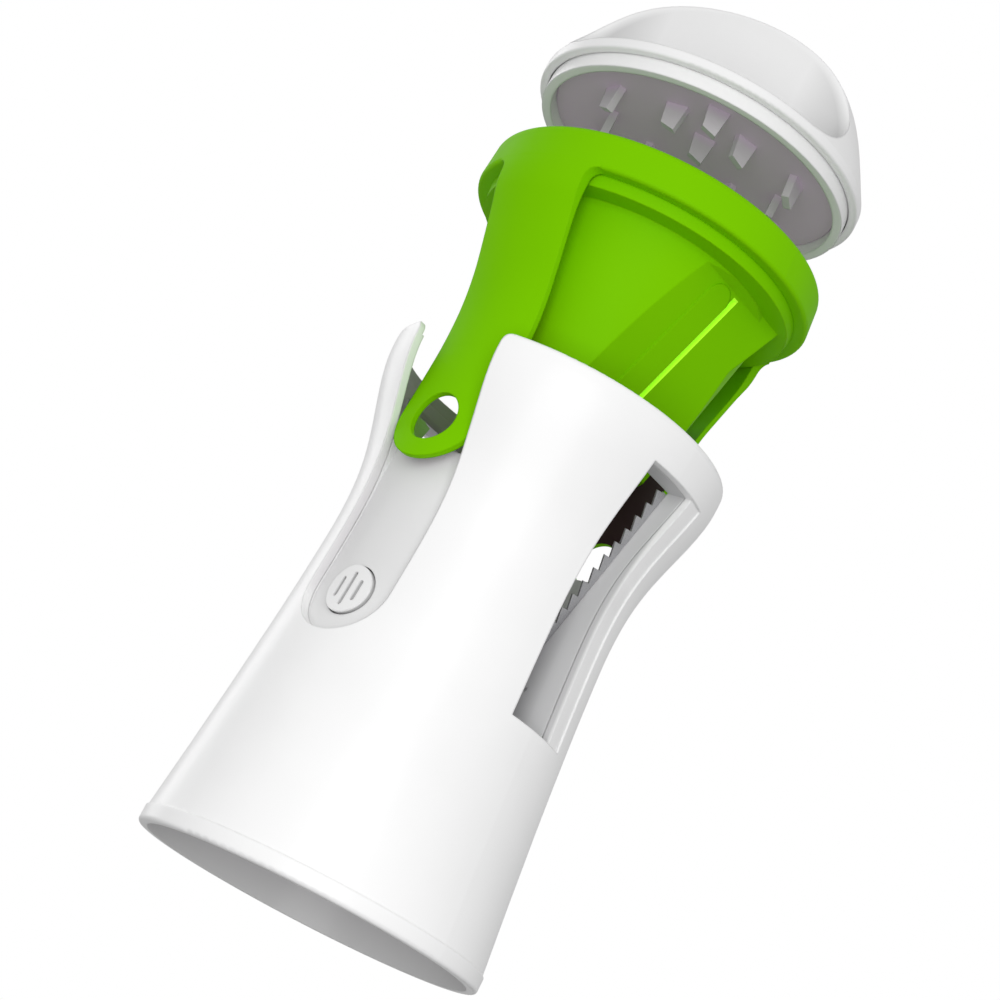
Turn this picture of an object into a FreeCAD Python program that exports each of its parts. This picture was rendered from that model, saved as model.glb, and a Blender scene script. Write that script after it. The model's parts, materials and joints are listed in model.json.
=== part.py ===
import FreeCAD, Part
import math
import os

from FreeCAD import Placement, Rotation, Vector

# Hand spiralizer, opened out, in millimetres. +Z is up and the origin is the centre of the base rim.
# The hopper's two straps, the latch tracks and the buttons face -Y (front) and +Y (rear).
# The two cutting windows face +X (right) and -X (left). Each pair is one shape and its half turn.

# Housing wall: a skirt, a waist and a flared mouth
BASE_RADIUS = 45.65        # outer radius that the skirt runs out to at its foot
WAIST_RADIUS = 38.0
WAIST_HEIGHT = 89.0
MOUTH_RADIUS = 46.4
MOUTH_HEIGHT = 136.0       # where the flare ends and the rim rounds over
SKIRT_CURVE = 1.3          # power of the skirt's sweep, 1 is a plain cone
MOUTH_CURVE = 1.37         # how late the flare opens
HOUSING_WALL = 2.6
BEAD_STEP = 0.45           # how far the bead round the foot stands out
BEAD_HEIGHT = 4.4
RIM_HEIGHT = 3.5           # from the end of the flare to the rim's crest
RIM_ROUND = 1.3

# Clearances
FIT_GAP = 0.1              # between curved faces of one body
RUN_GAP = 0.3              # between faces that move past each other
STRAP_GAP = 0.4            # each side of a strap in its channel
SPIGOT_GAP = 0.4           # round the spigot inside the rim
COLLAR_GAP = 0.6           # round the guide ring inside the collar

# Strap channels and the latch tracks that floor them
CHANNEL_HALF_WIDTH = 13.4
CHANNEL_FOOT = 56.6
CHANNEL_FLARE_HEIGHT = 24.0  # from where a channel widens to the mouth
CHANNEL_FLARE = 1.0        # extra half width at the mouth
CHANNEL_CORNER = 3.0       # rounding where a channel breaks the rim
TRACK_BORDER = 2.6         # how far a track reaches behind the wall
TRACK_TOP_DROP = 26.0      # top of a track below the mouth
TRACK_DEPTH = 3.1          # from the outer face of the wall to the track's floor
TRACK_THICKNESS = 1.6

# Latch buttons with their springs and sockets
BUTTON_RADIUS = 6.5
BUTTON_HEIGHT = 68.8
BUTTON_SINK = 2.0          # button face below the outer face of the wall
FLANGE_STEP = 1.0          # flange beyond the button's side
FLANGE_THICKNESS = 1.5
FLANGE_DROP = 1.6          # flange behind the back of the track
GROOVE_WIDTH = 1.3
GROOVE_DEPTH = 0.8
GROOVE_PITCH = 2.95
GROOVE_LONG = 9.2
GROOVE_SHORT = 5.6
SOCKET_WALL = 1.5
SOCKET_DEPTH = 6.8         # from the flange to the outer face of the closed end
SOCKET_BACK_WALL = 1.4
SPRING_STRIP = 0.5
SPRING_HALF_WIDTH = 2.6
SPRING_HALF_HEIGHT = 4.4
SPRING_FOLDS = 4
EAR_X = 11.8               # socket screws, from the middle of the socket
EAR_HALF_HEIGHT = 3.2
EAR_THICKNESS = 2.0
EAR_DROP = 1.8             # outer face of the ears behind the flange
BOSS_RADIUS = 2.6
EAR_SCREW_RADIUS = 1.0
EAR_SCREW_HEAD_RADIUS = 2.1
EAR_SCREW_HEAD_HEIGHT = 1.4
EAR_SCREW_GRIP = 2.2       # thread in the boss

# Hopper: collar, shelf and straps
STRAP_STAY = 35.3          # strap left below the rim's crest when the hopper stands raised
COLLAR_STEP = 1.3          # collar's foot beyond the mouth
COLLAR_TAPER = 0.8
COLLAR_HEIGHT = 10.8
COLLAR_WALL = 3.4
COLLAR_TOP_ROUND = 2.2
COLLAR_FOOT_ROUND = 1.0
SHELF_LAP = 1.15           # shelf over the top of the cone
SHELF_THICKNESS = 2.0
STRAP_SINK = 0.1           # strap's outer face below the wall's outer face
STRAP_THICKNESS = 1.6
STRAP_BLEND = 15.0         # height over which a strap swells to the collar
STRAP_BLEND_SINK = 0.02    # strap's outer face below the collar's where they meet
EYELET_RADIUS = 6.8

# Funnel: a cone with a flat plane cut on each side, and a raised tongue beside each plane's slit
SPIGOT_HEIGHT = 3.4
SPIGOT_TAPER = 0.5
CHUTE_ROOM = 8.241         # from the cone to the wall's inner face at the waist
CONE_SLOPE = 0.215         # radius lost for each millimetre down
CONE_HEIGHT = 48.8
FUNNEL_WALL = 2.0
PANEL_INSET = 2.35         # plane inside the cone at the foot of the spigot
PANEL_SLOPE = 0.37
PANEL_TOP_DROP = 1.5       # ledge over which the plane runs out to the cone
PANEL_RIGHT = 21.7         # plane's right edge at the foot of the spigot
PANEL_RIGHT_SLOPE = 0.283
SLIT_OFFSET = 1.6          # left side of the slit at the foot of the spigot
SLIT_SLOPE = 0.08
SLIT_WIDTH = 1.7
SLIT_TOP_DROP = 2.5
SLIT_FOOT_RISE = 2.0
TONGUE_WIDTH = 8.5
TONGUE_STEP = 0.4
TONGUE_TOP_DROP = 2.0
TONGUE_ROUND = 4.0

# Cutting windows, exit chutes and blades
WINDOW_FOOT = 58.5
WINDOW_TOP_DROP = 7.4      # top of a window below the mouth
WINDOW_LEFT_TURN = 11.6    # left side of the right window, from +X towards -Y
WINDOW_START = 15.0        # tools for the windows start inside the blades
WINDOW_REACH = 60.0        # and end outside the wall
INSET_TURN = 21.5          # right side of the inset beside the ramp, from +X towards +Y
INSET_DEPTH = 0.5
RAMP_BASE_Y = 8.9          # inner edge of the ramp at the top of the window
RAMP_BASE_SLOPE = 0.089
RAMP_END_Y = 12.7          # same edge at WINDOW_REACH
RAMP_END_SLOPE = -0.053
CHUTE_LINER = 3.0          # thickness of the ramp at the wall
CHUTE_FOOT = 7.0           # thickness of the ramp at the blade
CHUTE_PLATE = 1.8
CHUTE_PLATE_GAP = 0.8      # ceiling plate to the funnel's cone
CHUTE_LAP = 2.5            # plates reach past the window on its left side
BLADE_GAP = 0.4
BLADE_THICKNESS = 0.5
BLADE_TUCK = 4.2           # blade behind the ramp's foot
BLADE_STRIP = 1.35
TOOTH_DEPTH = 2.05
TOOTH_PITCH = 4.2
TOOTH_RAMP = 3.7           # slanting side of a tooth, along the blade
BLADE_END_GAP = 0.5
BLADE_FOOT_RISE = 3.5
BLADE_SCREW_IN = 8.0       # screws from the ends of the blade
BLADE_SCREW_HEAD = 1.7
BLADE_SCREW_RADIUS = 0.9
BLADE_SCREW_COVER = 1.705     # from the wall's inner face, straight out from a blade's upper screw

# Cap: dome, guide ring and spike plate, measured from the underside of the dome's lip
CAP_LIFT = 24.2            # how far the cap stands above its seat on the collar
LIP_STEP = 1.4             # lip inside the collar's outer face
LIP_HEIGHT = 3.0
LIP_ROUND = 0.6
DOME_HEIGHT = 36.0
DOME_TAPER = 0.36
DOME_POWER = 5.0
CEILING = 2.1              # flat underside of the dome
RING_WALL = 2.6
RING_DROP = 3.9
RING_LEDGE = 0.8
RING_LEDGE_REACH = 1.6
PLATE_DROP = 0.5
PLATE_RIM = 1.2
SCOOP_TURN = 29.0          # direction of the first scoop, from -Y towards +X
SCOOP_HALF_WIDTH = 38.3
SCOOP_FOOT = 2.9
SCOOP_FLOOR_RUN = 6.0      # bottom of the scoop's hollow, in from the fin's face
GRIP_FOOT = 13.0           # half thickness of the grip fin at its foot and top
GRIP_TOP = 12.0
SCOOP_BOWL = 14.0          # rounding between the scoop's floor and the fin
SCOOP_SIDE_ROUND = 6.0
GRIP_SKIN = 5.0
GRIP_HOLLOW_TOP = 30.0
GRIP_HOLLOW_LENGTH = 50.0
SPIKE_LENGTH = 7.4
SPIKE_WIDTH = 6.1
SPIKE_TIP_WIDTH = 4.1
SPIKE_THICKNESS = 2.2
SPIKE_SLANT = 1.3
SPIKE_TURN = 45.0          # direction of the first spike, from -Y towards +X
OUTER_SPIKES = 6
OUTER_SPIKE_RADIUS = 30.4
MIDDLE_SPIKE_RADIUS = 24.4
MIDDLE_SPIKE_ANGLE = 66.3  # from the middle pair to each pair beside it
INNER_SPIKES = 3
INNER_SPIKE_RADIUS = 12.9

# Levels and radii that follow
RIM_TOP = MOUTH_HEIGHT + RIM_HEIGHT
CHANNEL_FLARE_FOOT = MOUTH_HEIGHT - CHANNEL_FLARE_HEIGHT
TRACK_TOP = MOUTH_HEIGHT - TRACK_TOP_DROP
WINDOW_TOP = MOUTH_HEIGHT - WINDOW_TOP_DROP
COLLAR_FOOT = RIM_TOP + RUN_GAP
COLLAR_TOP = COLLAR_FOOT + COLLAR_HEIGHT
COLLAR_RADIUS = MOUTH_RADIUS + COLLAR_STEP
COLLAR_BORE = COLLAR_RADIUS - COLLAR_WALL
SPIGOT_FOOT = COLLAR_FOOT - SPIGOT_HEIGHT
FUNNEL_FOOT = SPIGOT_FOOT - CONE_HEIGHT
STRAP_INNER = STRAP_SINK + STRAP_THICKNESS
SPIGOT_RADIUS = MOUTH_RADIUS - STRAP_INNER - 2.0 * RUN_GAP
CONE_WAIST = WAIST_RADIUS - HOUSING_WALL - CHUTE_ROOM
CONE_RADIUS = CONE_WAIST + CONE_SLOPE * (SPIGOT_FOOT - WAIST_HEIGHT)
SHELF_BORE = CONE_RADIUS - SHELF_LAP
PANEL_X = CONE_RADIUS - PANEL_INSET
RIM_BORE = SPIGOT_RADIUS + SPIGOT_GAP
RIM_BORE_FOOT = SPIGOT_FOOT - SPIGOT_GAP
STRAP_HALF_WIDTH = CHANNEL_HALF_WIDTH - STRAP_GAP
STRAP_FOOT = CHANNEL_FOOT + STRAP_GAP
STRAP_TOP = COLLAR_FOOT + COLLAR_FOOT_ROUND
RAISE = COLLAR_FOOT - STRAP_FOOT - STRAP_STAY
CAP_SEAT = COLLAR_TOP + RUN_GAP + RAISE + CAP_LIFT
RING_RADIUS = COLLAR_BORE - COLLAR_GAP
RING_BORE = RING_RADIUS - RING_WALL
LIP_RADIUS = COLLAR_RADIUS - LIP_STEP
LIP_BORE = RING_RADIUS + RUN_GAP
PLATE_RADIUS = RING_BORE - RUN_GAP
BLADE_LOW = WINDOW_FOOT + BLADE_FOOT_RISE
BLADE_HIGH = WINDOW_TOP - BLADE_END_GAP

ORIGIN = Vector(0, 0, 0)
UP = Vector(0, 0, 1)
OUTSIDE = 80.0             # tools that cut from outside start here
CURVE_STEPS = 12
TINY = 1e-4


def outer_radius(height):
    """Outer radius of the housing wall at a height."""
    if height <= WAIST_HEIGHT:
        share = (WAIST_HEIGHT - height) / WAIST_HEIGHT
        return WAIST_RADIUS + (BASE_RADIUS - WAIST_RADIUS) * share ** SKIRT_CURVE
    share = min(1.0, (height - WAIST_HEIGHT) / (MOUTH_HEIGHT - WAIST_HEIGHT)) ** MOUTH_CURVE
    return WAIST_RADIUS + (MOUTH_RADIUS - WAIST_RADIUS) * share * share * (3.0 - 2.0 * share)


def floor_radius(height):
    """Radius of a track's floor: it follows the skirt, then runs straight up from the waist."""
    return outer_radius(min(height, WAIST_HEIGHT)) - TRACK_DEPTH


def collar_radius(height):
    """Outer radius of the closed collar at a height."""
    return COLLAR_RADIUS - COLLAR_TAPER * (height - COLLAR_FOOT) / COLLAR_HEIGHT


def strap_radius(height):
    """Outer radius of the closed straps: they follow the housing, then swell to the collar."""
    share = max(0.0, 1.0 - (STRAP_TOP - height) / STRAP_BLEND)
    swell = share * share * (3.0 - 2.0 * share)
    low = outer_radius(height) - STRAP_SINK
    return low + swell * (collar_radius(height) - STRAP_BLEND_SINK - low)


def cone_radius(height):
    """Outer radius of the closed funnel's cone at a height."""
    return CONE_RADIUS - CONE_SLOPE * (SPIGOT_FOOT - height)


def panel_x(height):
    """Distance of the closed funnel's right plane from the axis at a height."""
    return PANEL_X - PANEL_SLOPE * (SPIGOT_FOOT - height)


def slit_left(height):
    """Left side of the closed funnel's right slit at a height."""
    return SLIT_OFFSET - SLIT_SLOPE * (SPIGOT_FOOT - height)


def dome_radius(height):
    """Outer radius of the dome at a height above the lip's underside."""
    share = (height - LIP_HEIGHT) / DOME_HEIGHT
    return LIP_RADIUS * (1.0 - DOME_TAPER * share) * math.sqrt(max(0.0, 1.0 - share ** DOME_POWER))


# Depths behind the front track, from the axis
FLANGE_Y = floor_radius(BUTTON_HEIGHT) - TRACK_THICKNESS - FLANGE_DROP
SOCKET_BACK_Y = FLANGE_Y - SOCKET_DEPTH
EAR_Y = FLANGE_Y - EAR_DROP


def curve_through(radius_at, heights):
    """Smooth edge in the XZ plane through the radius at each height."""
    curve = Part.BSplineCurve()
    curve.interpolate([Vector(radius_at(height), 0, height) for height in heights])
    return curve.toShape()


def even_steps(low, high, steps=CURVE_STEPS):
    return [low + (high - low) * step / steps for step in range(steps + 1)]


def rounded_path(points, radii):
    """Edges of an open path through the points, with each inner corner rounded by its radius."""
    edges = []
    start = points[0]
    for before, corner, after, radius in zip(points, points[1:], points[2:], radii):
        back = (before - corner).normalize()
        ahead = (after - corner).normalize()
        half_angle = back.getAngle(ahead) / 2.0
        reach = radius / math.tan(half_angle)
        arrive = corner + back * reach
        leave = corner + ahead * reach
        if start.distanceToPoint(arrive) > TINY:
            edges.append(Part.makeLine(start, arrive))
        if radius > 0:
            inwards = (back + ahead).normalize()
            middle = corner + inwards * (radius / math.sin(half_angle) - radius)
            edges.append(Part.Arc(arrive, middle, leave).toShape())
        start = leave
    if start.distanceToPoint(points[-1]) > TINY:
        edges.append(Part.makeLine(start, points[-1]))
    return edges


def closed_face(edges):
    return Part.Face(Part.Wire(Part.sortEdges(edges)[0]))


def polygon_face(points):
    return Part.Face(Part.makePolygon(points + points[:1]))


def revolved(edges):
    return closed_face(edges).revolve(ORIGIN, UP, 360)


def ring(inner_radius, outer_radius_, foot, top):
    """Plain ring about the axis."""
    outer = Part.makeCylinder(outer_radius_, top - foot, Vector(0, 0, foot))
    return outer.cut(Part.makeCylinder(inner_radius, top - foot, Vector(0, 0, foot)))


def filled_to(radius_at, low, high, corner=None):
    """Solid of revolution filled from the axis to a radius, with an optional level where it bends."""
    edges = []
    levels = [low, high] if corner is None else [low, corner, high]
    for foot, top in zip(levels, levels[1:]):
        edges.append(curve_through(radius_at, even_steps(foot, top)))
    edges.append(Part.makeLine(Vector(radius_at(high), 0, high), Vector(0, 0, high)))
    edges.append(Part.makeLine(Vector(0, 0, high), Vector(0, 0, low)))
    edges.append(Part.makeLine(Vector(0, 0, low), Vector(radius_at(low), 0, low)))
    return revolved(edges)


def front_prism(edges, near_y=0.0):
    """Outline drawn in the XZ plane, run out to the front from a distance off the axis."""
    prism = closed_face(edges).extrude(Vector(0, -OUTSIDE, 0))
    prism.translate(Vector(0, -near_y, 0))
    return prism


def front_rod(radius, x, height, start_y, end_y):
    """Round rod towards the front, between two distances off the axis."""
    return Part.makeCylinder(radius, end_y - start_y, Vector(x, -start_y, height), Vector(0, -1, 0))


def half_turn(shape):
    twin = shape.copy()
    twin.rotate(ORIGIN, UP, 180)
    return twin


def both_sides(shape):
    return [shape, half_turn(shape)]


def loft(sections):
    """Straight-sided solid through closed sections of corner points."""
    wires = [Part.makePolygon(points + points[:1]) for points in sections]
    return Part.makeLoft(wires, True, True)


def arch_edges(half_width, foot, top, flare_foot, flare, mouth):
    """Upright outline with a round foot, as the channels, the tracks and the straps share it."""
    wide = half_width + flare
    right = [
        Vector(0, 0, foot),
        Vector(half_width, 0, foot),
        Vector(half_width, 0, flare_foot),
        Vector(wide, 0, top),
    ]
    radii = [half_width, 0.0]
    if mouth > 0:
        right.append(Vector(wide + mouth, 0, top))
        right.append(Vector(wide + mouth, 0, top + mouth))
        radii += [mouth, 0.0]
    left = [Vector(-point.x, 0, point.z) for point in right]
    return rounded_path(right, radii) + rounded_path(left, radii) + [Part.makeLine(right[-1], left[-1])]


def channel_prism():
    edges = arch_edges(
        CHANNEL_HALF_WIDTH, CHANNEL_FOOT, RIM_TOP, CHANNEL_FLARE_FOOT, CHANNEL_FLARE, CHANNEL_CORNER
    )
    return front_prism(edges)


def beside_window(radius, turn, height):
    """Point at a radius, turned from +X towards +Y."""
    angle = math.radians(turn)
    return Vector(radius * math.cos(angle), radius * math.sin(angle), height)


def window_prism():
    """Tool for the right window, from its straight left side to the ramp."""
    sections = []
    for height in (WINDOW_FOOT, WINDOW_TOP):
        start = beside_window(WINDOW_START, -WINDOW_LEFT_TURN, height)
        end = beside_window(WINDOW_REACH, -WINDOW_LEFT_TURN, height)
        sections.append([start, end, ramp_end(height), ramp_base(height)])
    return loft(sections)


def inset_tool():
    """Shallow inset in the wall between the right window's ramp and the plain wall."""
    sections = []
    for height in (WINDOW_FOOT, WINDOW_TOP):
        end = beside_window(WINDOW_REACH, INSET_TURN, height)
        start = beside_window(WINDOW_START, INSET_TURN, height)
        sections.append([ramp_base(height), ramp_end(height), end, start])
    floor = lambda height: outer_radius(height) - INSET_DEPTH
    return loft(sections).cut(filled_to(floor, WINDOW_FOOT, WINDOW_TOP, WAIST_HEIGHT))


def ramp_base(height):
    """Inner edge of the ramp, beside the blade."""
    x = cone_radius(height) + BLADE_GAP + BLADE_THICKNESS
    return Vector(x, RAMP_BASE_Y - RAMP_BASE_SLOPE * (WINDOW_TOP - height), height)


def ramp_end(height):
    """Where the ramp's slanting face leaves the housing, run on to the tools' reach."""
    return Vector(WINDOW_REACH, RAMP_END_Y - RAMP_END_SLOPE * (WINDOW_TOP - height), height)


def make_housing_shell():
    """Hourglass shell with a beaded foot, a bore for the hopper's spigot, two channels and two windows."""
    bead = outer_radius(0) + BEAD_STEP - (outer_radius(0) - outer_radius(BEAD_HEIGHT))
    foot = outer_radius(BEAD_HEIGHT)
    inner = lambda height: outer_radius(height) - HOUSING_WALL
    edges = rounded_path(
        [
            Vector(inner(0), 0, 0),
            Vector(bead, 0, 0),
            Vector(bead, 0, BEAD_HEIGHT),
            Vector(foot, 0, BEAD_HEIGHT),
        ],
        [BEAD_STEP * 2.0, BEAD_STEP * 0.8],
    )
    edges.append(curve_through(outer_radius, even_steps(BEAD_HEIGHT, MOUTH_HEIGHT, 2 * CURVE_STEPS)))
    edges += rounded_path(
        [
            Vector(MOUTH_RADIUS, 0, MOUTH_HEIGHT),
            Vector(MOUTH_RADIUS, 0, RIM_TOP),
            Vector(RIM_BORE, 0, RIM_TOP),
            Vector(RIM_BORE, 0, RIM_BORE_FOOT),
            Vector(inner(RIM_BORE_FOOT), 0, RIM_BORE_FOOT),
        ],
        [RIM_ROUND, RUN_GAP, 0.0],
    )
    edges.append(curve_through(inner, even_steps(0, RIM_BORE_FOOT, 2 * CURVE_STEPS)))
    cuts = both_sides(channel_prism()) + both_sides(window_prism()) + both_sides(inset_tool())
    return revolved(edges).cut(cuts)


def make_latch_track():
    """Front track: a frame behind the wall and a sunken floor, bored for button and socket screws."""
    skin = lambda height: outer_radius(height) - HOUSING_WALL - FIT_GAP
    back = lambda height: floor_radius(height) - TRACK_THICKNESS
    foot = CHANNEL_FOOT - TRACK_BORDER
    half_width = CHANNEL_HALF_WIDTH + TRACK_BORDER
    below = foot - TRACK_BORDER
    outline = front_prism(arch_edges(half_width, foot, TRACK_TOP, WAIST_HEIGHT, 0.0, 0.0))
    shape = filled_to(skin, below, TRACK_TOP, WAIST_HEIGHT)
    shape = shape.cut(filled_to(back, below, TRACK_TOP, WAIST_HEIGHT)).common(outline)
    pocket = channel_prism().cut(filled_to(floor_radius, below, RIM_TOP, WAIST_HEIGHT))
    shape = shape.cut(pocket)
    backing = filled_to(floor_radius, below, TRACK_TOP, WAIST_HEIGHT)
    for x in (-EAR_X, EAR_X):
        boss = front_rod(BOSS_RADIUS, x, BUTTON_HEIGHT, EAR_Y, floor_radius(BUTTON_HEIGHT))
        shape = shape.fuse(boss.common(backing))
    pilot_end = EAR_Y + EAR_SCREW_GRIP + FIT_GAP
    for x in (-EAR_X, EAR_X):
        shape = shape.cut(front_rod(EAR_SCREW_RADIUS + FIT_GAP, x, BUTTON_HEIGHT, EAR_Y, pilot_end))
    hole = front_rod(BUTTON_RADIUS + RUN_GAP, 0, BUTTON_HEIGHT, 0, OUTSIDE)
    return shape.cut(hole).removeSplitter()


def make_button_socket():
    """Front socket: a cup behind the track that guides the button's flange and holds its spring."""
    bore = BUTTON_RADIUS + FLANGE_STEP + RUN_GAP
    seat = lambda height: floor_radius(height) - TRACK_THICKNESS - FIT_GAP
    inside = filled_to(seat, CHANNEL_FOOT - TRACK_BORDER, TRACK_TOP, WAIST_HEIGHT)
    cup = front_rod(bore + SOCKET_WALL, 0, BUTTON_HEIGHT, SOCKET_BACK_Y, OUTSIDE).common(inside)
    ears = Part.makeBox(
        2.0 * (EAR_X + BOSS_RADIUS),
        EAR_THICKNESS,
        2.0 * EAR_HALF_HEIGHT,
        Vector(-EAR_X - BOSS_RADIUS, -EAR_Y, BUTTON_HEIGHT - EAR_HALF_HEIGHT),
    )
    shape = cup.fuse(ears)
    shape = shape.cut(front_rod(bore, 0, BUTTON_HEIGHT, SOCKET_BACK_Y + SOCKET_BACK_WALL, OUTSIDE))
    for x in (-EAR_X, EAR_X):
        shape = shape.cut(front_rod(EAR_SCREW_RADIUS + RUN_GAP, x, BUTTON_HEIGHT, 0, OUTSIDE))
    return shape.removeSplitter()


def make_socket_screws():
    """Two pan-head screws through the front socket's ears into the track's bosses."""
    screws = []
    under_head = EAR_Y - EAR_THICKNESS
    head_top = under_head - EAR_SCREW_HEAD_HEIGHT
    for x in (-EAR_X, EAR_X):
        head = front_rod(EAR_SCREW_HEAD_RADIUS, x, BUTTON_HEIGHT, head_top, under_head)
        slot = Part.makeBox(
            2.0 * EAR_SCREW_HEAD_RADIUS,
            EAR_SCREW_HEAD_HEIGHT / 2.0,
            EAR_SCREW_RADIUS / 2.0,
            Vector(
                x - EAR_SCREW_HEAD_RADIUS,
                EAR_SCREW_HEAD_HEIGHT / 2.0 - under_head,
                BUTTON_HEIGHT - EAR_SCREW_RADIUS / 4.0,
            ),
        )
        shank = front_rod(EAR_SCREW_RADIUS, x, BUTTON_HEIGHT, under_head, EAR_Y + EAR_SCREW_GRIP)
        screws.append(head.cut(slot).fuse(shank).removeSplitter())
    return Part.makeCompound(screws)


def groove_prism(x, length):
    """Round-ended upright groove across the button's face."""
    half = GROOVE_WIDTH / 2.0
    low = BUTTON_HEIGHT - length / 2.0
    high = BUTTON_HEIGHT + length / 2.0
    corners = [
        Vector(x, 0, low),
        Vector(x + half, 0, low),
        Vector(x + half, 0, high),
        Vector(x - half, 0, high),
        Vector(x - half, 0, low),
        Vector(x, 0, low),
    ]
    return front_prism(rounded_path(corners, [half] * 4))


def make_latch_button():
    """Front button: a round key with a curved, grooved face and a flange that the track holds back."""
    low = BUTTON_HEIGHT - 2.0 * BUTTON_RADIUS
    high = BUTTON_HEIGHT + 2.0 * BUTTON_RADIUS
    face = filled_to(lambda height: outer_radius(height) - BUTTON_SINK, low, high)
    key = front_rod(BUTTON_RADIUS, 0, BUTTON_HEIGHT, FLANGE_Y, OUTSIDE).common(face)
    flange = front_rod(
        BUTTON_RADIUS + FLANGE_STEP, 0, BUTTON_HEIGHT, FLANGE_Y - FLANGE_THICKNESS, FLANGE_Y
    )
    shape = key.fuse(flange).removeSplitter()
    below_face = filled_to(lambda height: outer_radius(height) - BUTTON_SINK - GROOVE_DEPTH, low, high)
    for place, length in ((-1, GROOVE_SHORT), (0, GROOVE_LONG), (1, GROOVE_SHORT)):
        shape = shape.cut(groove_prism(place * GROOVE_PITCH, length).cut(below_face))
    return shape


def make_button_spring():
    """Front folded leaf spring between the button's flange and the closed end of its socket."""
    near = SOCKET_BACK_Y + SOCKET_BACK_WALL + FIT_GAP
    far = FLANGE_Y - FLANGE_THICKNESS - SPRING_STRIP - FIT_GAP
    foot = BUTTON_HEIGHT - SPRING_HALF_HEIGHT
    fold = 2.0 * SPRING_HALF_HEIGHT / SPRING_FOLDS
    back = []
    for number in range(SPRING_FOLDS + 1):
        y = near if number % 2 == 0 else far
        back.append(Vector(-SPRING_HALF_WIDTH, -y, foot + number * fold))
    face = [point - Vector(0, SPRING_STRIP, 0) for point in reversed(back)]
    return polygon_face(back + face).extrude(Vector(2.0 * SPRING_HALF_WIDTH, 0, 0))


def make_exit_chute():
    """Right chute behind the window: a ramp from the blade to the wall, a ceiling and a floor."""
    skin = lambda height: outer_radius(height) - HOUSING_WALL - FIT_GAP
    low = WINDOW_FOOT - CHUTE_PLATE
    high = WINDOW_TOP + CHUTE_PLATE
    liner = Vector(0, CHUTE_LINER, 0)
    foot = Vector(0, CHUTE_FOOT, 0)
    sections = []
    for height in (WINDOW_FOOT, WINDOW_TOP):
        base = ramp_base(height)
        end = ramp_end(height)
        sections.append([base, end, end + liner, base + foot])
    shape = loft(sections)
    ceiling_x = cone_radius(high) + CHUTE_PLATE_GAP
    floor_x = ramp_base(WINDOW_FOOT).x
    for level, start_x in ((low, floor_x), (WINDOW_TOP, ceiling_x)):
        shape = shape.fuse(chute_plate(level, start_x))
    return shape.common(filled_to(skin, low, high, WAIST_HEIGHT)).removeSplitter()


def chute_plate(level, start_x):
    """Level plate across the end of a chute, from a distance off the axis out past the wall."""
    left_slope = math.tan(math.radians(WINDOW_LEFT_TURN))
    edge_height = min(max(level, WINDOW_FOOT), WINDOW_TOP)
    back_y = ramp_base(edge_height).y + CHUTE_FOOT
    end_y = ramp_end(edge_height).y + CHUTE_LINER
    corners = [
        Vector(start_x, -left_slope * start_x - CHUTE_LAP, level),
        Vector(WINDOW_REACH, -left_slope * WINDOW_REACH - CHUTE_LAP, level),
        Vector(WINDOW_REACH, max(back_y, end_y), level),
        Vector(start_x, back_y, level),
    ]
    return polygon_face(corners).extrude(Vector(0, 0, CHUTE_PLATE))


def blade_placement():
    """Blade's own frame: X across it into the chute's foot, Y up along the ramp's edge, Z outwards."""
    low = ramp_base(BLADE_LOW)
    along = (ramp_base(BLADE_HIGH) - low).normalize()
    outward = Vector(1, 0, -CONE_SLOPE).normalize()
    across = along.cross(outward)
    corner = low - outward * BLADE_THICKNESS
    return Placement(corner, Rotation(across, along, outward, "ZXY"))


def blade_length():
    return ramp_base(BLADE_LOW).distanceToPoint(ramp_base(BLADE_HIGH))


def blade_screw_places():
    middle = BLADE_TUCK / 2.0
    return [Vector(middle, BLADE_SCREW_IN, 0), Vector(middle, blade_length() - BLADE_SCREW_IN, 0)]


def blade_screw_length():
    """Length of a blade's screws, so that the upper one ends short of the wall."""
    height = BLADE_HIGH - BLADE_SCREW_IN
    return outer_radius(height) - HOUSING_WALL - ramp_base(height).x - BLADE_SCREW_COVER


def countersunk(place, gap):
    """Countersunk screw, or with a gap the hole for it, in the blade's own frame."""
    sink = BLADE_SCREW_HEAD - BLADE_SCREW_RADIUS
    head = Part.makeCone(BLADE_SCREW_HEAD + gap, BLADE_SCREW_RADIUS + gap, sink, place)
    shank = Part.makeCylinder(BLADE_SCREW_RADIUS + gap, blade_screw_length() + gap, place)
    return head.fuse(shank)


def make_julienne_blade():
    """Right blade: a flat steel strip with a row of saw teeth and two countersunk holes."""
    length = blade_length()
    teeth = int(length // TOOTH_PITCH)
    first = (length - teeth * TOOTH_PITCH) / 2.0
    corners = [Vector(BLADE_TUCK, length, 0), Vector(BLADE_TUCK, 0, 0), Vector(-BLADE_STRIP, 0, 0)]
    for tooth in range(teeth):
        start = first + tooth * TOOTH_PITCH
        corners.append(Vector(-BLADE_STRIP, start, 0))
        corners.append(Vector(-BLADE_STRIP - TOOTH_DEPTH, start + TOOTH_RAMP, 0))
    corners.append(Vector(-BLADE_STRIP, first + teeth * TOOTH_PITCH, 0))
    corners.append(Vector(-BLADE_STRIP, length, 0))
    shape = polygon_face(corners).extrude(Vector(0, 0, BLADE_THICKNESS))
    for place in blade_screw_places():
        shape = shape.cut(countersunk(place, FIT_GAP))
    shape.Placement = blade_placement()
    return shape


def make_blade_screws(gap=0.0):
    """The right blade's two screws, flush with its inner face."""
    screws = Part.makeCompound([countersunk(place, gap) for place in blade_screw_places()])
    screws.Placement = blade_placement()
    return screws


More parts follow.
